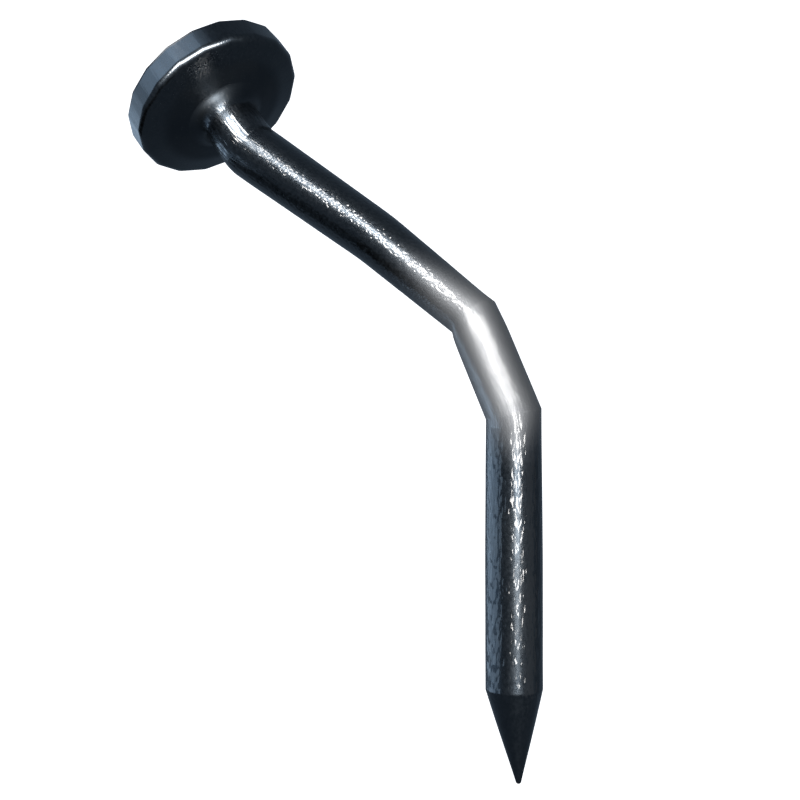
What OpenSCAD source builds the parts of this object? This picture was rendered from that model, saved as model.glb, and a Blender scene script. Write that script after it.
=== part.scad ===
// Forged steel tent stake: one round bar, upset into a mushroom head, bent by hand,
// and drawn to a plain conical point.
//
// Frame: millimetres, Z up. The origin lies on the axis of the straight lower shank at the
// ground line, a little below the lower bend. The point goes down along -Z and the bar
// leans away towards -X above the ground. The bends of the shank lie in the XZ plane; the
// last bend, under the head, turns the head out of that plane towards +Y.
//
// The real stake is a single forging. The nodes below are its named portions. Each one is a
// closed solid, and each meets the next one on a flat face across the bar.

/* [Bar] */
// Diameter of the round bar
bar_d = 12;            // [8:0.5:16]
// Length of the straight lower shank, from the point's shoulder to the lower bend's corner
lower_len = 58.2;      // [30:0.1:150]
// Length of the middle leg, corner to corner
middle_len = 21.9;     // [14:0.1:60]
// Length of the upper leg, from the upper bend's corner to the slight kink
upper_len = 31.1;      // [20:0.1:80]
// Length of the upper leg, from the slight kink to the neck bend's corner
shoulder_len = 39.4;   // [20:0.1:90]
// Height of the lower bend's corner above the ground line
bend_above_ground = 13; // [8:0.5:40]

/* [Bends] */
// Lower bend, from the lower shank to the middle leg
lower_bend_deg = 31.6; // [10:0.1:60]
// Upper bend, from the middle leg to the upper leg
upper_bend_deg = 34.1; // [10:0.1:60]
// Slight kink part way along the upper leg
kink_deg = 4.1;        // [1:0.1:10]
// Bend under the head
neck_bend_deg = 15.1;  // [4:0.1:30]
// Which way the bend under the head goes: 0 is on with the other bends, -90 is straight out to +Y
neck_turn_deg = -133.6; // [-180:0.1:180]
// Centreline radius of the two main bends
bend_r = 7.2;          // [6.5:0.1:20]
// Centreline radius of the bend under the head
neck_bend_r = 9;       // [6.5:0.5:20]

/* [Point] */
// Length of the point, from its shoulder to the tip
point_len = 20;        // [10:0.5:40]
// Radius of the worn tip
tip_r = 0.6;           // [0.3:0.1:1.5]

/* [Head] */
// Diameter of the head over its corners
head_d = 37.0;         // [24:0.1:50]
// Distance from the neck bend's corner to the lowest place on the rim's rounded edge
neck_len = 14.4;       // [13:0.1:30]
// Length of plain round bar under the flare, from the neck bend's corner
flare_start = 8;       // [2:0.1:12]
// Radius of the flare that blends the bar into the head
flare_r = 4;           // [4:0.1:10]
// Angle that the flare turns through before it runs into the underside
flare_deg = 71;        // [40:1:75]
// Height of the rim's side wall, between its two rounded edges
rim_wall = 4.3;        // [1:0.1:8]
// Radius of the rim's lower edge
rim_low_r = 1.9;       // [0.4:0.1:2.4]
// Radius of the rim's upper edge
rim_high_r = 0.9;      // [0.3:0.1:2]
// How much smaller the rim is at its upper edge, on the radius
rim_draft = 0.1;       // [0:0.05:1]
// Rise of the domed top above the rim, up to the flat strike face
crown = 0.9;           // [0.3:0.1:2]
// Diameter of the flat strike face
strike_d = 22;         // [12:0.5:30]
// Number of hammered flats around the rim
rim_flats = 18;        // [12:1:24]
// Turn of the flats about the head's axis
rim_turn_deg = -2.3;   // [-10:0.1:10]

/* [Show] */
// Portion to show

/* [Hidden] */
bar_r = bar_d / 2;
round_fn = 96;

// Lean of each leg from the vertical, towards -X
lean_m = lower_bend_deg;
lean_a = lean_m + upper_bend_deg;
lean_b = lean_a + kink_deg;

// How far each bend reaches from its corner along the legs
reach_low = bend_r * tan(lower_bend_deg / 2);
reach_up = bend_r * tan(upper_bend_deg / 2);
reach_neck = neck_bend_r * tan(neck_bend_deg / 2);

// Corners of the bar's centreline, all in the XZ plane
function dir(a) = [-sin(a), 0, cos(a)];
corner_low = [0, 0, bend_above_ground];
corner_up = corner_low + middle_len * dir(lean_m);
corner_kink = corner_up + upper_len * dir(lean_a);
corner_neck = corner_kink + shoulder_len * dir(lean_b);
shoulder_z = bend_above_ground - lower_len;

// Head profile, measured along the head's axis from the neck bend's corner
head_r = head_d / 2;
flare_end_r = bar_r + flare_r * (1 - cos(flare_deg));
flare_end_s = flare_start + flare_r * sin(flare_deg);
rim_low_s = neck_len;
rim_low_top = rim_low_s + rim_low_r;
rim_wall_top = rim_low_top + rim_wall;
rim_high_s = rim_wall_top + rim_high_r;
top_r = head_r - rim_draft - rim_high_r;
strike_s = rim_high_s + crown;

steel = [0.13, 0.15, 0.17];

// A straight round leg that starts at p and runs the given way
module leg(p, lean, from, to) {
    translate(p) rotate([0, -lean, 0]) translate([0, 0, from])
        cylinder(h = to - from, r = bar_r, $fn = round_fn);
}

// A bend whose corner is at p. It turns further towards -X, or that way turned about the leg by way
module bend(p, lean, turn, radius, reach, way) {
    translate(p) rotate([0, -lean, 0]) translate([0, 0, -reach])
        rotate([0, 0, way]) translate([-radius, 0, 0]) rotate([90, 0, 0])
            rotate_extrude(angle = turn, $fn = round_fn * 2) translate([radius, 0]) circle(r = bar_r, $fn = round_fn);
}

// Places the head's own axis: +Z runs from the neck bend's corner to the strike face
module on_head_axis() {
    translate(corner_neck) rotate([0, -lean_b, 0]) rotate([0, 0, neck_turn_deg])
        rotate([0, -neck_bend_deg, 0]) rotate([0, 0, -neck_turn_deg]) children();
}

// Conical point with a worn, rounded tip
module point() {
    cone_a = atan((bar_r - tip_r) / (point_len - tip_r));
    tip_z = shoulder_z - point_len;
    color(steel) translate([0, 0, tip_z]) rotate_extrude($fn = round_fn)
        polygon(concat(
            [[0, 0]],
            [for (i = [1 : 8]) let (a = (90 - cone_a) * i / 8) [tip_r * sin(a), tip_r * (1 - cos(a))]],
            [[bar_r, point_len], [0, point_len]]));
}

// Straight lower shank, the length that is driven into the ground
module lower_shank() {
    color(steel) translate([0, 0, shoulder_z]) cylinder(h = lower_len - reach_low, r = bar_r, $fn = round_fn);
}

// Lower main bend
module lower_bend() {
    color(steel) bend(corner_low, 0, lower_bend_deg, bend_r, reach_low, 0);
}

// Short straight leg between the two main bends
module middle_shank() {
    color(steel) leg(corner_low, lean_m, reach_low, middle_len - reach_up);
}

// Upper main bend
module upper_bend() {
    color(steel) bend(corner_up, lean_m, upper_bend_deg, bend_r, reach_up, 0);
}

// One side of the slight kink: a straight round leg cut off on the kink's mitre plane
module mitred_leg(lean, length, up) {
    intersection() {
        translate(corner_kink) rotate([0, -lean, 0]) translate([0, 0, up ? -4 : -length])
            cylinder(h = length + 4, r = bar_r, $fn = round_fn);
        translate(corner_kink) rotate([0, -(lean_a + lean_b) / 2, 0])
            translate([-3 * bar_r, -3 * bar_r, up ? 0 : -2 * length]) cube([6 * bar_r, 6 * bar_r, 2 * length]);
    }
}

// Upper leg, from the upper main bend to the slight kink
module upper_shank() {
    color(steel) mitred_leg(lean_a, upper_len - reach_up, false);
}

// Upper leg under the head, from the slight kink to the neck bend, where the guy line rests
module line_shank() {
    color(steel) mitred_leg(lean_b, shoulder_len - reach_neck, true);
}

// Slight bend under the head, which carries the head out of the plane of the other bends
module neck_bend() {
    color(steel) bend(corner_neck, lean_b, neck_bend_deg, neck_bend_r, reach_neck, neck_turn_deg);
}

// Round neck and the flare that opens into the head's underside
module neck() {
    color(steel) on_head_axis() rotate_extrude($fn = round_fn) polygon(concat(
        [[0, reach_neck], [bar_r, reach_neck], [bar_r, flare_start]],
        [for (i = [1 : 12]) let (a = flare_deg * i / 12)
            [bar_r + flare_r * (1 - cos(a)), flare_start + flare_r * sin(a)]],
        [[0, flare_end_s]]));
}

// Mushroom head: shallow conical underside, rounded rim with hammered flats, domed top
module head() {
    to_edge_r = head_r - rim_low_r - flare_end_r;
    to_edge_s = rim_low_top - flare_end_s;
    under_a = atan2(to_edge_s, to_edge_r) - asin(rim_low_r / sqrt(to_edge_r * to_edge_r + to_edge_s * to_edge_s));
    color(steel) on_head_axis() intersection() {
        rotate_extrude($fn = round_fn) polygon(concat(
            [[0, flare_end_s], [flare_end_r, flare_end_s]],
            [for (i = [0 : 6]) let (a = under_a + (90 - under_a) * i / 6)
                [head_r - rim_low_r + rim_low_r * sin(a), rim_low_top - rim_low_r * cos(a)]],
            [[head_r - rim_draft, rim_wall_top]],
            [for (i = [1 : 6]) let (a = 90 * i / 6)
                [top_r + rim_high_r * cos(a), rim_wall_top + rim_high_r * sin(a)]],
            [for (i = [1 : 5]) let (t = i / 6)
                [top_r + (strike_d / 2 - top_r) * t, rim_high_s + crown * (1 - (1 - t) * (1 - t))]],
            [[strike_d / 2, strike_s], [0, strike_s]]));
        rotate([0, 0, rim_turn_deg]) translate([0, 0, flare_end_s - 1]) linear_extrude(height = strike_s - flare_end_s + 2)
            polygon([for (i = [0 : rim_flats - 1]) let (a = 360 * (i + 0.5) / rim_flats)
                (head_r + 0.08) * [cos(a), sin(a)]]);
    }
}

head();
neck();
neck_bend();
line_shank();
upper_shank();
upper_bend();
middle_shank();
lower_bend();
lower_shank();
point();
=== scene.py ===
import math

import bpy
import numpy as np
from mathutils import Matrix, Vector


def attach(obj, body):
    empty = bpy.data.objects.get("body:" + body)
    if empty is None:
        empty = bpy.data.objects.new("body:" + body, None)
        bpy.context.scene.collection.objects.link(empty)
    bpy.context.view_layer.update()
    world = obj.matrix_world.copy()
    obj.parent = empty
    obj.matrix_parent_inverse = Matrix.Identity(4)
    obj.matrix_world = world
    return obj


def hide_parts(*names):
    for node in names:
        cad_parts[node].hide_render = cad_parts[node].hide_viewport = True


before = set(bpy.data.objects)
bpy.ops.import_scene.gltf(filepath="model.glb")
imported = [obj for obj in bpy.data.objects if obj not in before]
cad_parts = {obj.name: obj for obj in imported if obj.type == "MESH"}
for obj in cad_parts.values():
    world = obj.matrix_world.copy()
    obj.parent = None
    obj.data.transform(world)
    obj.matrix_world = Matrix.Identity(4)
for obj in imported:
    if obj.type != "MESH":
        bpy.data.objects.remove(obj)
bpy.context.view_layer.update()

MM = 0.001

# ---------------------------------------------------------------- the stake's sizes, in millimetres, as in the part's source
BAR_R = 6.0
LOWER, MIDDLE, UPPER, LINE = 58.2, 21.9, 31.1, 39.4
CORNER_Z = 13.0
LOW_BEND, UP_BEND, KINK, NECK_BEND, NECK_TURN = 31.6, 34.1, 4.1, 15.1, -133.6
BEND_R, NECK_R = 7.2, 9.0
POINT_LEN, TIP_R = 20.0, 0.6
HEAD_R, NECK_LEN = 18.5, 14.4
FLARE_S, FLARE_R, FLARE_DEG = 8.0, 4.0, 71.0
RIM_LOW_R, RIM_WALL, RIM_HIGH_R, RIM_DRAFT = 1.9, 4.3, 0.9, 0.1
CROWN, STRIKE_R = 0.9, 11.0
FLATS, RIM_TURN = 18, -2.3
SEG = 216          # vertices round the bar
STEP = 0.27        # spacing of the rings along the bar


def way(a):
    a = math.radians(a)
    return np.array([-math.sin(a), 0.0, math.cos(a)])


def axes(lean):
    """Rows: across the bar in the bend plane, across it along Y, and along it."""
    a = math.radians(lean)
    return np.array([[math.cos(a), 0.0, math.sin(a)], [0.0, 1.0, 0.0], [-math.sin(a), 0.0, math.cos(a)]])


def turned(axis, deg):
    a = math.radians(deg)
    k = np.array([[0, -axis[2], axis[1]], [axis[2], 0, -axis[0]], [-axis[1], axis[0], 0]])
    return np.eye(3) + math.sin(a) * k + (1 - math.cos(a)) * k @ k


LEAN_M = LOW_BEND
LEAN_A = LEAN_M + UP_BEND
LEAN_B = LEAN_A + KINK
C_LOW = np.array([0.0, 0.0, CORNER_Z])
C_UP = C_LOW + MIDDLE * way(LEAN_M)
C_KINK = C_UP + UPPER * way(LEAN_A)
C_NECK = C_KINK + LINE * way(LEAN_B)
SHOULDER_Z = CORNER_Z - LOWER
REACH_LOW = BEND_R * math.tan(math.radians(LOW_BEND / 2))
REACH_UP = BEND_R * math.tan(math.radians(UP_BEND / 2))
REACH_N = NECK_R * math.tan(math.radians(NECK_BEND / 2))

# ---------------------------------------------------------------- rings: centre, axes, radius, place along the straightened bar, portion
rings = []


def ring(centre, frame3, radius, s, part, poly=0.0):
    rings.append((np.array(centre, float), np.array(frame3, float), float(radius), float(s), part, float(poly)))


def spread(a, b, step, first=True):
    n = max(2, int(round(abs(b - a) / step)) + 1)
    v = np.linspace(a, b, n)
    return v if first else v[1:]


s = 0.0
# point: worn round tip, then a cone whose sides swell a little
cone = math.atan((BAR_R - TIP_R) / (POINT_LEN - TIP_R))
tip_z = SHOULDER_Z - POINT_LEN
for k in np.linspace(0.03, 1, 8):
    a = (math.pi / 2 - cone) * k
    ring((0, 0, tip_z + TIP_R * (1 - math.cos(a))), axes(0), TIP_R * math.sin(a), TIP_R * (1 - math.cos(a)), "point")
z0, r0 = TIP_R * (1 - math.cos(math.pi / 2 - cone)), TIP_R * math.sin(math.pi / 2 - cone)
for z in spread(z0, POINT_LEN, STEP, False):
    t = (z - z0) / (POINT_LEN - z0)
    ring((0, 0, tip_z + z), axes(0), r0 + (BAR_R - r0) * t + 0.10 * math.sin(math.pi * t) * t, z, "point")
s = POINT_LEN


def straight(corner, frame3, a, b, part, step=STEP):
    """Rings of a straight leg from a to b along it, measured from its corner; b is included, a isn't."""
    global s
    start = s
    for d in spread(a, b, step, False):
        ring(corner + d * frame3[2], frame3, BAR_R, start + d - a, part)
    s = start + b - a


def bend(corner, frame3, turn, radius, reach, part, n, towards_deg=0.0):
    """Rings of a bend towards -X of the leg's own axes, or that way turned about the leg. Returns the next leg's axes."""
    global s
    w = math.radians(towards_deg)
    side = -(math.cos(w) * frame3[0] + math.sin(w) * frame3[1])
    axis = np.cross(frame3[2], side)
    first = corner - reach * frame3[2]
    centre = first + radius * side
    start = s
    for k in np.linspace(0, 1, n + 1)[1:]:
        m = turned(axis, turn * k)
        ring(centre + m @ (first - centre), frame3 @ m.T, BAR_R, start + math.radians(turn) * radius * k, part)
    s = start + math.radians(turn) * radius
    return frame3 @ turned(axis, turn).T


straight(C_LOW, axes(0), -LOWER, -REACH_LOW, "lower_shank")
bend(C_LOW, axes(0), LOW_BEND, BEND_R, REACH_LOW, "lower_bend", 30)
straight(C_LOW, axes(LEAN_M), REACH_LOW, MIDDLE - REACH_UP, "middle_shank")
bend(C_UP, axes(LEAN_M), UP_BEND, BEND_R, REACH_UP, "upper_bend", 22)
straight(C_UP, axes(LEAN_A), REACH_UP, UPPER - 3.0, "upper_shank")
# the slight kink is eased over six millimetres
for k in np.linspace(0, 1, 11)[1:]:
    a, b, c = C_KINK - 3.0 * way(LEAN_A), C_KINK, C_KINK + 3.0 * way(LEAN_B)
    ring((1 - k) ** 2 * a + 2 * k * (1 - k) * b + k * k * c, axes(LEAN_A + KINK * k), BAR_R, s + 6 * k, "upper_shank" if k <= 0.5 else "line_shank")
s += 6
straight(C_KINK, axes(LEAN_B), 3.0, LINE - REACH_N, "line_shank")
HEAD_AXES = bend(C_NECK, axes(LEAN_B), NECK_BEND, NECK_R, REACH_N, "neck_bend", 12, NECK_TURN)
straight(C_NECK, HEAD_AXES, REACH_N, FLARE_S, "neck", 0.25)
neck_s0 = s - FLARE_S


def head_ring(rho, up, part, poly=0.0):
    ring(C_NECK + up * HEAD_AXES[2], HEAD_AXES, rho, neck_s0 + up, part, poly)


for a in np.radians(spread(0, FLARE_DEG, 2.5, False)):
    head_ring(BAR_R + FLARE_R * (1 - math.cos(a)), FLARE_S + FLARE_R * math.sin(a), "neck")
end_r, end_s = BAR_R + FLARE_R * (1 - math.cos(math.radians(FLARE_DEG))), FLARE_S + FLARE_R * math.sin(math.radians(FLARE_DEG))
low_top = NECK_LEN + RIM_LOW_R
to_edge = (HEAD_R - RIM_LOW_R - end_r, low_top - end_s)
under = math.atan2(to_edge[1], to_edge[0]) - math.asin(RIM_LOW_R / math.hypot(*to_edge))
wall_top = low_top + RIM_WALL
high = wall_top + RIM_HIGH_R
a_r = HEAD_R - RIM_LOW_R + RIM_LOW_R * math.sin(under)
a_s = low_top - RIM_LOW_R * math.cos(under)
for k in spread(0, 1, STEP / (a_r - end_r), False):
    head_ring(end_r + (a_r - end_r) * k, end_s + (a_s - end_s) * k, "head", 0.9 * max(0.0, k - 0.35) / 0.65)
for k in np.linspace(0, 1, 13)[1:]:
    a = under + (math.pi / 2 - under) * k
    head_ring(HEAD_R - RIM_LOW_R + RIM_LOW_R * math.sin(a), low_top - RIM_LOW_R * math.cos(a), "head", 0.9 + 0.1 * k)
for k in spread(0, 1, STEP / RIM_WALL, False):
    head_ring(HEAD_R - RIM_DRAFT * k, low_top + RIM_WALL * k, "head", 1)
top_r = HEAD_R - RIM_DRAFT - RIM_HIGH_R
for k in np.linspace(0, 1, 10)[1:]:
    a = math.pi / 2 * k
    head_ring(top_r + RIM_HIGH_R * math.cos(a), wall_top + RIM_HIGH_R * math.sin(a), "head", 1 - 0.1 * k)
for k in spread(0, 1, STEP / (top_r - STRIKE_R), False):
    head_ring(top_r + (STRIKE_R - top_r) * k, high + CROWN * (1 - (1 - k) ** 2), "head", 0.9 * (1 - k))
for rho in spread(STRIKE_R, 0.25, 0.32, False):
    head_ring(rho, high + CROWN, "head", 0)

n_ring = len(rings)
# the bar was drawn a little thinner where it was heated and bent
s_c_low = POINT_LEN + LOWER - 0.6
s_c_up = s_c_low + MIDDLE - 0.8
s_c_kink = s_c_up + UPPER
s_c_neck = s_c_kink + LINE
THIN = [(0, 1), (POINT_LEN + 30, 1.0), (s_c_low - 3, 0.964), (s_c_low + 3, 0.964), (s_c_up - 2.5, 0.947), (s_c_up + 2.5, 0.872), (s_c_kink, 0.942), (s_c_neck - 4, 1.004), (s_c_neck + 6, 1.004), (s_c_neck + 16, 1), (400, 1)]
centre = np.array([r[0] for r in rings])
frames = np.array([r[1] for r in rings])
rad = np.array([r[2] for r in rings])
along = np.array([r[3] for r in rings])
part_of = [r[4] for r in rings]
poly = np.array([r[5] for r in rings])
thin = np.interp(along, [t[0] for t in THIN], [t[1] for t in THIN])
for _ in range(3):
    thin[4:-4] = np.convolve(thin, np.ones(9) / 9, "same")[4:-4]
rad = rad * thin
# the point leans a little, as a hand-drawn point does
centre[:, 0] += 1.2 * np.clip(1 - along / POINT_LEN, 0, 1) ** 1.0

# ---------------------------------------------------------------- smooth noise, the same on every run
rng = np.random.default_rng(20)
PERM = rng.permutation(256)
GRAD = rng.normal(size=(256, 3)); GRAD /= np.linalg.norm(GRAD, axis=1)[:, None]


def noise(p):
    """Gradient noise, about -0.7 to 0.7, at the points p."""
    i = np.floor(p).astype(int)
    f = p - i
    w = f * f * f * (f * (f * 6 - 15) + 10)
    out = 0
    for dx in (0, 1):
        for dy in (0, 1):
            for dz in (0, 1):
                h = PERM[(PERM[(PERM[(i[..., 0] + dx) & 255] + i[..., 1] + dy) & 255] + i[..., 2] + dz) & 255]
                g = GRAD[h]
                d = (g * (f - np.array([dx, dy, dz]))).sum(-1)
                ww = np.where(dx, w[..., 0], 1 - w[..., 0]) * np.where(dy, w[..., 1], 1 - w[..., 1]) * np.where(dz, w[..., 2], 1 - w[..., 2])
                out = out + d * ww
    return out


def ease(x, a, b):
    t = np.clip((x - a) / (b - a), 0, 1)
    return t * t * (3 - 2 * t)


# ---------------------------------------------------------------- the surface as one grid: rings by places round the bar
phi = np.linspace(0, 2 * math.pi, SEG, endpoint=False)
x_axis, y_axis = frames[:, 0], frames[:, 1]
# hammered flats round the rim: an uneven polygon with slightly eased corners
half = math.pi / FLATS
edges = np.radians(RIM_TURN) + 2 * half * (np.arange(FLATS) + 0.5)
near = ((phi[:, None] - (edges[None] + half) + math.pi) % (2 * math.pi)) - math.pi
flat = np.abs(near).argmin(1)
off = near[np.arange(SEG), flat]
poly_f = math.cos(half) / np.cos(off)
poly_f = np.minimum(poly_f, 0.9985) * (1 + 0.0)
shape = 1 + poly[:, None] * (poly_f[None] - 1)
radius = rad[:, None] * shape
bar = np.stack([radius * np.cos(phi), radius * np.sin(phi), np.broadcast_to(along[:, None], radius.shape)], -1)
P = centre[:, None, :] + radius[..., None] * (np.cos(phi)[None, :, None] * x_axis[:, None, :] + np.sin(phi)[None, :, None] * y_axis[:, None, :])


def normals(p):
    dphi = np.roll(p, -1, 1) - np.roll(p, 1, 1)
    ds = np.empty_like(p)
    ds[1:-1] = p[2:] - p[:-2]
    ds[0] = p[1] - p[0]
    ds[-1] = p[-1] - p[-2]
    n = np.cross(dphi, ds)
    length = np.linalg.norm(n, axis=-1, keepdims=True)
    return n / np.maximum(length, 1e-12)


# ---------------------------------------------------------------- relief in the metal itself
s_shoulder = POINT_LEN
s_low = along[[i for i, p in enumerate(part_of) if p == "lower_bend"][0]]
s_mid = along[[i for i, p in enumerate(part_of) if p == "middle_shank"][0]]
s_up = along[[i for i, p in enumerate(part_of) if p == "upper_bend"][0]]
s_leg = along[[i for i, p in enumerate(part_of) if p == "upper_shank"][0]]
s_neck = along[[i for i, p in enumerate(part_of) if p == "neck_bend"][0]]
S = bar[..., 2]
is_head = np.array([p == "head" for p in part_of])
long_w = (ease(S, s_shoulder - 6, s_shoulder + 1) * (1 - 0.65 * ease(S, s_low - 2, s_low + 5)) * (1 - ease(S, s_low + 12, s_up)))
fine_w = ease(S, s_up - 3, s_leg + 4) * (1 - ease(S, s_neck - 12, s_neck - 1))
neck_w = ease(S, s_neck - 12, s_neck + 1) * (1 - 0.8 * ease(np.broadcast_to(rad[:, None], S.shape), 8.5, 13))
calm_w = 1 - np.clip(long_w + fine_w + neck_w, 0, 1)
glow_w = ease(S, s_low - 10, s_low + 4) * (1 - ease(S, s_leg - 3, s_leg + 26))
up_s = S - neck_s0
neck_w = np.where(up_s > low_top, 0.12, neck_w)
dull_w = ease(up_s, FLARE_S + 0.6, FLARE_S + 2.2) * (1 - ease(up_s, NECK_LEN - 1.6, NECK_LEN - 0.6))
relief = 0.030 * noise(bar * [0.16, 0.16, 0.07])
relief += long_w * 0.016 * noise(bar * [0.55, 0.55, 0.17] + 11)
relief += fine_w * 0.014 * noise(bar * [0.62, 0.62, 0.5] + 23)
relief += neck_w * 0.014 * noise(bar * [0.8, 0.8, 0.14] + 31)
relief += calm_w * 0.006 * noise(bar * [0.4, 0.4, 0.3] + 41)
# soft hammer dents on the strike face and an uneven dome
top = np.array([1.0 if (part_of[i] == "head" and i > n_ring - 90) else 0.0 for i in range(n_ring)])
face = top[:, None] * (1 - ease(np.broadcast_to(rad[:, None], S.shape), 13, 17.5))
dents = noise(bar * [0.21, 0.21, 0.3] + 57)
relief += face * (-0.10 * np.clip(dents, 0, 1) - 0.03 * np.abs(noise(bar * [0.5, 0.5, 0.5] + 63)))
fade_tip = ease(S, 0.2, 3.0)
relief = (relief - 0.02) * fade_tip
N0 = normals(P)
P_smooth = P.copy()
for name, corner, lean_0, lean_1 in (("lower_bend", C_LOW, 0, LEAN_M), ("upper_bend", C_UP, LEAN_M, LEAN_A)):
    idx = [i for i, p in enumerate(part_of) if p == name]
    idx = [idx[0] - 1] + idx
    t0, t1 = way(lean_0), way(lean_1)
    side = t1 - t0; side /= np.linalg.norm(side)          # across the mitre plane's normal, in the bend's plane
    mitre = t0 + t1; mitre /= np.linalg.norm(mitre)
    for i in idx:
        k = (i - idx[0]) / (len(idx) - 1)
        t = t0 if k < 0.5 else t1
        r = rad[i]
        v = P[i] - corner
        d = v @ t
        off_axis = v - d[:, None] * t
        q = corner + d[:, None] * t + off_axis / np.linalg.norm(off_axis, axis=1, keepdims=True) * r
        over = (q - corner) @ mitre
        if abs(k - 0.5) < 0.5 / (len(idx) - 1) + 1e-6:
            q = q - (over / (t @ mitre))[:, None] * t
        else:
            over = np.maximum(over, 0) if k < 0.5 else np.minimum(over, 0)
            q = q - (over / (t @ mitre))[:, None] * t
        P[i] = q
P_round = centre[:, None, :] + np.broadcast_to(rad[:, None], radius.shape)[..., None] * (np.cos(phi)[None, :, None] * x_axis[:, None, :] + np.sin(phi)[None, :, None] * y_axis[:, None, :])
N_round = normals(P_round)
P = P + N0 * relief[..., None]
# the flats are dressed so softly that their faces barely show in the shine
NRM = normals(P) * 0.25 + normals(P_round + N_round * relief[..., None]) * 0.75
NRM /= np.linalg.norm(NRM, axis=-1, keepdims=True)

# ---------------------------------------------------------------- the material


def link(tree, a, b):
    tree.links.new(a, b)


def make_steel(name="forged_steel"):
    m = bpy.data.materials.new(name)
    m.use_nodes = True
    t = m.node_tree
    t.nodes.clear()
    out = t.nodes.new("ShaderNodeOutputMaterial")
    bsdf = t.nodes.new("ShaderNodeBsdfPrincipled")
    link(t, bsdf.outputs[0], out.inputs[0])
    at = t.nodes.new("ShaderNodeAttribute"); at.attribute_name = "bar_pos"
    w_long = t.nodes.new("ShaderNodeAttribute"); w_long.attribute_name = "w_long"
    w_fine = t.nodes.new("ShaderNodeAttribute"); w_fine.attribute_name = "w_fine"
    w_neck = t.nodes.new("ShaderNodeAttribute"); w_neck.attribute_name = "w_neck"
    w_glow = t.nodes.new("ShaderNodeAttribute"); w_glow.attribute_name = "w_glow"
    w_dull = t.nodes.new("ShaderNodeAttribute"); w_dull.attribute_name = "w_dull"

    def tex(scale_xyz, scale, detail, rough, distortion=0.0):
        mp = t.nodes.new("ShaderNodeMapping")
        mp.inputs["Scale"].default_value = scale_xyz
        n = t.nodes.new("ShaderNodeTexNoise")
        n.inputs["Scale"].default_value = scale
        n.inputs["Detail"].default_value = detail
        n.inputs["Roughness"].default_value = rough
        n.inputs["Distortion"].default_value = distortion
        link(t, at.outputs["Vector"], mp.inputs["Vector"])
        link(t, mp.outputs["Vector"], n.inputs["Vector"])
        return n.outputs["Fac"]

    def math_node(op, a, b=None, bv=None):
        n = t.nodes.new("ShaderNodeMath"); n.operation = op
        link(t, a, n.inputs[0])
        if b is not None:
            link(t, b, n.inputs[1])
        elif bv is not None:
            n.inputs[1].default_value = bv
        return n.outputs[0]

    long_t = tex((1, 1, 0.30), 1.3, 0.9, 0.42)
    fine_t = tex((1, 1, 0.75), 1.6, 0.5, 0.4)
    neck_t = tex((1, 1, 0.16), 1.8, 0.5, 0.4)
    micro_t = tex((1, 1, 1), 6.0, 2.0, 0.5)

    def bump(height, strength_from, distance, before=None, strength=1.0):
        b = t.nodes.new("ShaderNodeBump")
        b.inputs["Distance"].default_value = distance
        b.inputs["Strength"].default_value = strength
        if strength_from is not None:
            link(t, strength_from, b.inputs["Strength"])
        link(t, height, b.inputs["Height"])
        if before is not None:
            link(t, before, b.inputs["Normal"])
        return b.outputs["Normal"]

    b1 = bump(long_t, w_long.outputs["Fac"], 0.00030)
    b2 = bump(fine_t, w_fine.outputs["Fac"], 0.00017, b1)
    b3 = bump(neck_t, w_neck.outputs["Fac"], 0.00022, b2)
    b4 = bump(micro_t, None, 0.0000006, b3)
    link(t, b4, bsdf.inputs["Coat Normal"])

    # colour: blue-black scale with browner, duller patches
    big = tex((1, 1, 0.5), 0.13, 3.0, 0.6)
    ramp = t.nodes.new("ShaderNodeValToRGB")
    ramp.color_ramp.elements[0].position = 0.35
    ramp.color_ramp.elements[0].color = (0.030, 0.037, 0.045, 1)
    ramp.color_ramp.elements[1].position = 0.70
    ramp.color_ramp.elements[1].color = (0.040, 0.046, 0.052, 1)
    link(t, big, ramp.inputs["Fac"])
    # painted sheen: the metal's colour is made paler over the two bends and the leg between them, where the broad
    # highlight falls
    painted_sheen_mix = t.nodes.new("ShaderNodeMix"); painted_sheen_mix.data_type = "RGBA"
    link(t, w_glow.outputs["Fac"], painted_sheen_mix.inputs["Factor"])
    link(t, ramp.outputs["Color"], painted_sheen_mix.inputs["A"])
    # the paler colour of the painted sheen
    painted_sheen_mix.inputs["B"].default_value = (0.11, 0.114, 0.12, 1)
    link(t, painted_sheen_mix.outputs["Result"], bsdf.inputs["Base Color"])
    rr = t.nodes.new("ShaderNodeMapRange")
    rr.inputs["From Min"].default_value = 0.3
    rr.inputs["From Max"].default_value = 0.7
    rr.inputs["To Min"].default_value = 0.27
    rr.inputs["To Max"].default_value = 0.35
    link(t, fine_t, rr.inputs["Value"])
    mix = t.nodes.new("ShaderNodeMix"); mix.data_type = "FLOAT"
    link(t, w_glow.outputs["Fac"], mix.inputs["Factor"])
    link(t, rr.outputs["Result"], mix.inputs["A"])
    mix.inputs["B"].default_value = 0.62
    flat = t.nodes.new("ShaderNodeMix"); flat.data_type = "FLOAT"
    link(t, w_dull.outputs["Fac"], flat.inputs["Factor"])
    link(t, mix.outputs["Result"], flat.inputs["A"])
    flat.inputs["B"].default_value = 0.38
    link(t, flat.outputs["Result"], bsdf.inputs["Roughness"])
    bsdf.inputs["Metallic"].default_value = 1.0
    dull = t.nodes.new("ShaderNodeMapRange")
    dull.inputs["To Min"].default_value = 0.8
    dull.inputs["To Max"].default_value = 0.05
    link(t, w_dull.outputs["Fac"], dull.inputs["Value"])
    link(t, dull.outputs["Result"], bsdf.inputs["Coat Weight"])
    soft = t.nodes.new("ShaderNodeMapRange")
    soft.inputs["To Min"].default_value = 0.10
    soft.inputs["To Max"].default_value = 0.24
    link(t, w_glow.outputs["Fac"], soft.inputs["Value"])
    link(t, soft.outputs["Result"], bsdf.inputs["Coat Roughness"])
    bsdf.inputs["Coat IOR"].default_value = 1.5
    return m


steel = make_steel()

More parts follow.
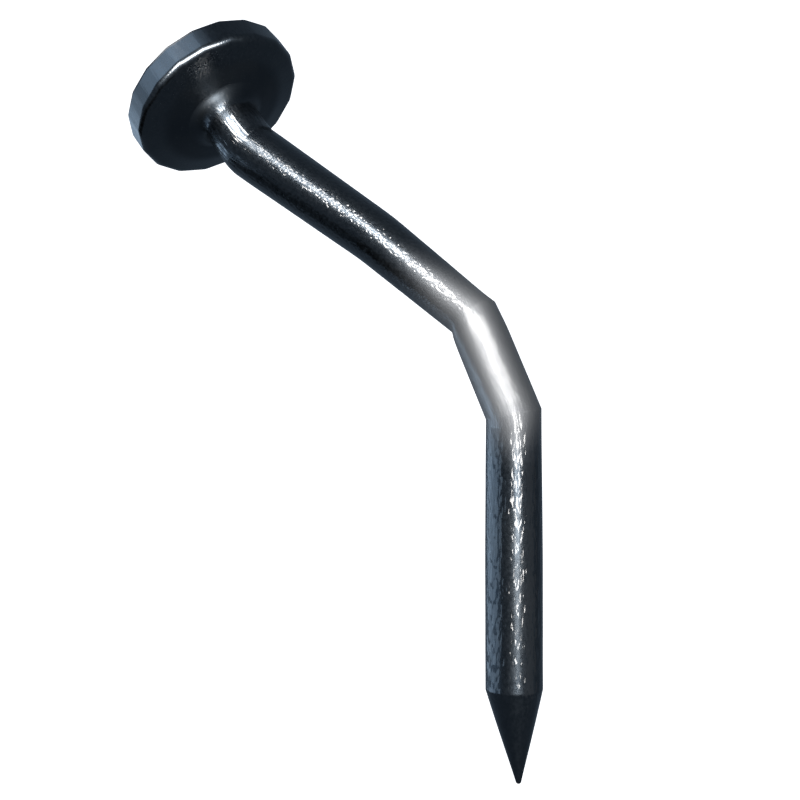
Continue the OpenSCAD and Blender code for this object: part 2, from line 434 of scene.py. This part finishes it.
# ---------------------------------------------------------------- one mesh per portion, cut from the same grid so that neighbours meet
order = ["point", "lower_shank", "lower_bend", "middle_shank", "upper_bend", "upper_shank", "line_shank", "neck_bend", "neck", "head"]
spans = {}
for i, p in enumerate(part_of):
    a, b = spans.get(p, (i, i))
    spans[p] = (min(a, i), max(b, i))
for k, p in enumerate(order):
    if k:
        spans[p] = (spans[order[k - 1]][1], spans[p][1])


def portion(name):
    i0, i1 = spans[name]
    rows = i1 - i0 + 1
    v = P[i0:i1 + 1].reshape(-1, 3)
    n = NRM[i0:i1 + 1].reshape(-1, 3)
    b = bar[i0:i1 + 1].reshape(-1, 3)
    w = [a[i0:i1 + 1].reshape(-1) for a in (long_w, fine_w, neck_w, glow_w, dull_w)]
    j = np.arange(SEG)
    jn = (j + 1) % SEG
    r = np.arange(rows - 1)[:, None] * SEG
    quads = np.stack([r + j, r + jn, r + SEG + jn, r + SEG + j], -1).reshape(-1, 4)
    low_c, high_c = v[:SEG].mean(0), v[-SEG:].mean(0)
    extra = np.array([low_c, high_c])
    lo_n, hi_n = -frames[i0][2], frames[i1][2]
    verts = np.vstack([v, extra])
    nv = len(v)
    tri_low = np.stack([jn, j, np.full(SEG, nv)], -1)
    last = (rows - 1) * SEG
    tri_high = np.stack([last + j, last + jn, np.full(SEG, nv + 1)], -1)
    faces = [tuple(q) for q in quads.tolist()] + [tuple(q) for q in tri_low.tolist()] + [tuple(q) for q in tri_high.tolist()]
    me = bpy.data.meshes.new(name + "_forging")
    me.from_pydata((verts * MM).tolist(), [], faces)
    me.polygons.foreach_set("use_smooth", [True] * len(me.polygons))
    loops = np.empty(len(me.loops), int)
    me.loops.foreach_get("vertex_index", loops)
    nn = np.vstack([n, lo_n, hi_n])
    ln = nn[loops]
    first_cap = len(quads) * 4
    mid = first_cap + SEG * 3
    # inner faces lie flat, except at the tip and the strike face's centre, which show
    ln[first_cap:mid] = lo_n
    ln[mid:] = hi_n
    me.normals_split_custom_set(ln.tolist())
    a = me.attributes.new("bar_pos", "FLOAT_VECTOR", "POINT")
    mean_s = [b[:SEG, 2].mean(), b[-SEG:, 2].mean()]
    bb = np.vstack([b, [0, 0, mean_s[0]], [0, 0, mean_s[1]]])
    a.data.foreach_set("vector", bb.reshape(-1).astype(np.float32))
    for nm, ww in zip(("w_long", "w_fine", "w_neck", "w_glow", "w_dull"), w):
        a = me.attributes.new(nm, "FLOAT", "POINT")
        a.data.foreach_set("value", np.concatenate([ww, [0, 0]]).astype(np.float32))
    me.materials.append(steel)
    o = bpy.data.objects.new(name + "_forging", me)
    bpy.context.scene.collection.objects.link(o)
    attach(o, "root")
    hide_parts(name)
    return o


for p in order:
    portion(p)
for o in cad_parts.values():
    o.data.materials.clear()
    o.data.materials.append(steel)

# ---------------------------------------------------------------- camera
CAM_AZ, CAM_EL, CAM_ROLL = 45.00, 12.00, -0.214
CAM_D = 3.0
PX_MM = 0.20870
AIM = np.array([-50.0, 0.0, 5.0])
CX, CY = 342.92, 416.76


def towards(az, el):
    a, e = math.radians(az), math.radians(el)
    return Vector((math.sin(a) * math.cos(e), -math.cos(a) * math.cos(e), math.sin(e)))


cd = bpy.data.cameras.new("camera")
cam = bpy.data.objects.new("camera", cd)
bpy.context.scene.collection.objects.link(cam)
bpy.context.scene.camera = cam
cd.sensor_width = 36.0
cd.lens = 36.0 * (CAM_D / MM) / (800 * PX_MM)
back = towards(CAM_AZ, CAM_EL)
right = Vector((math.cos(math.radians(CAM_AZ)), math.sin(math.radians(CAM_AZ)), 0))
up = back.cross(right)
ro = math.radians(CAM_ROLL)
right, up = right * math.cos(ro) + up * math.sin(ro), up * math.cos(ro) - right * math.sin(ro)
aim = Vector(AIM * MM) - right * (CX - 400) * PX_MM * MM + up * (CY - 400) * PX_MM * MM
cam.matrix_world = Matrix((
    (right.x, up.x, back.x, aim.x + back.x * CAM_D),
    (right.y, up.y, back.y, aim.y + back.y * CAM_D),
    (right.z, up.z, back.z, aim.z + back.z * CAM_D),
    (0, 0, 0, 1)))
cd.clip_start, cd.clip_end = 0.05, 100

# ---------------------------------------------------------------- floor and backdrop


def plain(name, color, glow):
    m = bpy.data.materials.new(name)
    m.use_nodes = True
    b = m.node_tree.nodes["Principled BSDF"]
    b.inputs["Base Color"].default_value = color
    b.inputs["Roughness"].default_value = 0.9
    b.inputs["Specular IOR Level"].default_value = 0.0
    b.inputs["Emission Color"].default_value = (1, 1, 1, 1)
    b.inputs["Emission Strength"].default_value = glow
    return m


def stage_piece(o):
    o.visible_glossy = False
    o.visible_shadow = False
    o.visible_diffuse = False
    o.visible_transmission = False


floor_z = (SHOULDER_Z - POINT_LEN - 0.4) * MM
bpy.ops.mesh.primitive_circle_add(vertices=96, radius=14, fill_type="NGON", location=(0, 0, floor_z))
floor = bpy.context.object
floor.name = "floor"
floor.data.materials.append(plain("pale_floor", (0.9, 0.9, 0.9, 1), 1.1))
stage_piece(floor)
bpy.ops.mesh.primitive_uv_sphere_add(segments=64, ring_count=32, radius=13.5, location=(0, 0, floor_z))
dome = bpy.context.object
dome.name = "backdrop"
dome.data.materials.append(plain("pale_backdrop", (0.0, 0.0, 0.0, 1), 1.1))
stage_piece(dome)

# ---------------------------------------------------------------- light
world = bpy.data.worlds.new("studio")
bpy.context.scene.world = world
world.use_nodes = True
bg = world.node_tree.nodes["Background"]
bg.inputs[0].default_value = (0.55, 0.75, 1.0, 1)
bg.inputs[1].default_value = 0.16


def area(name, target, az, el, dist, wide, tall, radiance, color=(1, 1, 1), spread_deg=180):
    ld = bpy.data.lights.new(name, "AREA")
    ld.shape = "RECTANGLE"
    ld.size, ld.size_y = wide, tall
    ld.energy = radiance * math.pi * wide * tall
    ld.color = color
    ld.spread = math.radians(spread_deg)
    o = bpy.data.objects.new(name, ld)
    bpy.context.scene.collection.objects.link(o)
    d = towards(az, el)
    o.location = Vector(target) * MM + d * dist
    o.rotation_mode = "QUATERNION"
    o.rotation_quaternion = d.to_track_quat("Z", "Y")
    o.visible_camera = False
    return o


BLUE = (0.57, 0.77, 1.0)


def strip(name, from_a, way_a, from_b, way_b, dist, wide, radiance, color=(1, 0.98, 0.955), spread=180):
    """A long soft box: each end lies the given way and distance from its own point on the stake."""
    a = Vector(from_a) * MM + towards(*way_a) * dist
    b = Vector(from_b) * MM + towards(*way_b) * dist
    aim = (Vector(from_a) + Vector(from_b)) * 0.5 * MM
    mid = (a + b) * 0.5
    long = b - a
    n = (mid - aim).normalized()
    x = (long - n * long.dot(n)).normalized()
    y = n.cross(x)
    ld = bpy.data.lights.new(name, "AREA")
    ld.shape = "RECTANGLE"
    ld.size, ld.size_y = long.length + wide * 0.5, wide
    ld.energy = radiance * math.pi * ld.size * ld.size_y
    ld.color = color
    ld.spread = math.radians(spread)
    o = bpy.data.objects.new(name, ld)
    bpy.context.scene.collection.objects.link(o)
    o.matrix_world = Matrix(((x.x, y.x, n.x, mid.x), (x.y, y.y, n.y, mid.y), (x.z, y.z, n.z, mid.z), (0, 0, 0, 1)))
    o.visible_camera = False
    return o


def mirror(n):
    """The way, as azimuth and elevation, that the camera sees reflected by a surface facing n."""
    n = Vector(n).normalized()
    d = 2 * n.dot(back) * n - back
    return math.degrees(math.atan2(d.x, -d.y)), math.degrees(math.asin(d.z))


def rim_at(deg):
    """A place on the rim's side wall, deg round the head's axis from level, and the way it faces."""
    h = HEAD_AXES[2]
    a1 = np.cross(h, [0, 0, 1.0]); a1 /= np.linalg.norm(a1)
    a2 = np.cross(h, a1)
    w = math.radians(deg)
    n = math.cos(w) * a1 + math.sin(w) * a2
    return C_NECK + 18.5 * h + HEAD_R * n, n


def only(light, *names):
    """The light falls on the named portions alone, as a lamp with flags round it does."""
    group = bpy.data.collections.new(light.name + "_reach")
    for name in names:
        group.objects.link(bpy.data.objects[name + "_forging"])
    light.light_linking.receiver_collection = group
    return light


AT_L, AT_M, AT_A, AT_K, AT_N, AT_H = (0, 0, 8), (-6, 0, 22), (-26, 0, 38), (-44, 0, 46), (-80, 1, 60), (-90, 3, 66)
SHAFT = [n for n in order if n != "head"]
only(strip("strip_low", (0, 0, 13), (60, -12), AT_M, (48, 14), 0.35, 0.095, 32), *SHAFT)
only(strip("strip_lowest", (0, 0, -10), (60, -12), (0, 0, 13), (60, -12), 0.35, 0.10, 0.4), *SHAFT)
only(strip("box_mid", AT_M, (42, 20), AT_M, (36, 46), 0.35, 0.16, 6.6), *SHAFT)
only(strip("strip_mid", AT_M, (26, 40), AT_A, (-23, 51), 0.35, 0.08, 28), *SHAFT)
only(strip("strip_high", AT_A, (-23, 51), AT_K, (-31, 50), 0.35, 0.045, 34), *SHAFT)
only(strip("strip_neck", AT_N, (-36, 50), AT_N, (-36, 62), 0.35, 0.07, 46), "neck_bend", "neck")
only(strip("strip_root", AT_N, (-30, 55), AT_N, (-6, 49), 0.35, 0.07, 34), "neck")
only(strip("strip_join", (-84, 1, 62), (-33, 46), (-84, 1, 62), (-33, 56), 0.12, 0.022, 21), "line_shank")
only(strip("strip_rim", AT_H, (8, 22), AT_H, (80, 30), 0.35, 0.12, 30), "head")
only(strip("strip_wide", AT_H, (14, 18), AT_H, (82, 30), 0.35, 0.08, 18), "upper_shank", "upper_bend", "middle_shank", "lower_bend", "lower_shank")
only(strip("panel_low", (0, 0, 30), (-85, -12), (0, 0, 30), (-16, -12), 0.9, 0.15, 2.0, BLUE), *SHAFT)
only(strip("panel_mid", AT_M, (-50, -9), AT_M, (-20, 3), 0.9, 0.26, 3.6, BLUE), "middle_shank", "lower_bend")
only(area("fill_right", (0, 0, -10), 110, -5, 0.9, 0.8, 0.8, 0.22), "lower_shank", "lower_bend", "middle_shank", "point")
area("fill_top", AT_H, 285, 45, 1.0, 0.6, 0.6, 3.0)
only(area("fill_back", (-10, 0, 0), 200, 25, 1.0, 0.7, 0.7, 1.0), "lower_shank", "point")
knots = [146, 158, 170, 182, 196, 210, 224, 238, 247]
rim_glow = [0.035, 0.055, 0.06, 0.065, 0.14, 0.18, 0.17, 0.06]
for k in range(len(knots) - 1):
    (p0, n0), (p1, n1) = rim_at(knots[k]), rim_at(knots[k + 1])
    only(strip("panel_rim_%d" % k, p0, mirror(n0), p1, mirror(n1), 0.06, 0.024, rim_glow[k], BLUE, spread=50), "head")

# a black card keeps the low panel off the upper leg
card_z0, card_z1 = 3, 42
pts = [(-8, -62), (-60, -75), (-105, -58), (-140, -25)]
me = bpy.data.meshes.new("black_card")
me.from_pydata([(x * MM, y * MM, z * MM) for x, y in pts for z in (card_z0, card_z1)], [],
               [(2 * k, 2 * k + 2, 2 * k + 3, 2 * k + 1) for k in range(len(pts) - 1)])
card = bpy.data.objects.new("black_card", me)
bpy.context.scene.collection.objects.link(card)
me.materials.append(plain("black_card", (0.0, 0.0, 0.0, 1), 0.0))
card.visible_camera = False
card.visible_shadow = False
card.visible_diffuse = False
card.visible_transmission = False

bpy.context.scene.view_settings.view_transform = "Standard"
bpy.context.scene.view_settings.look = "None"
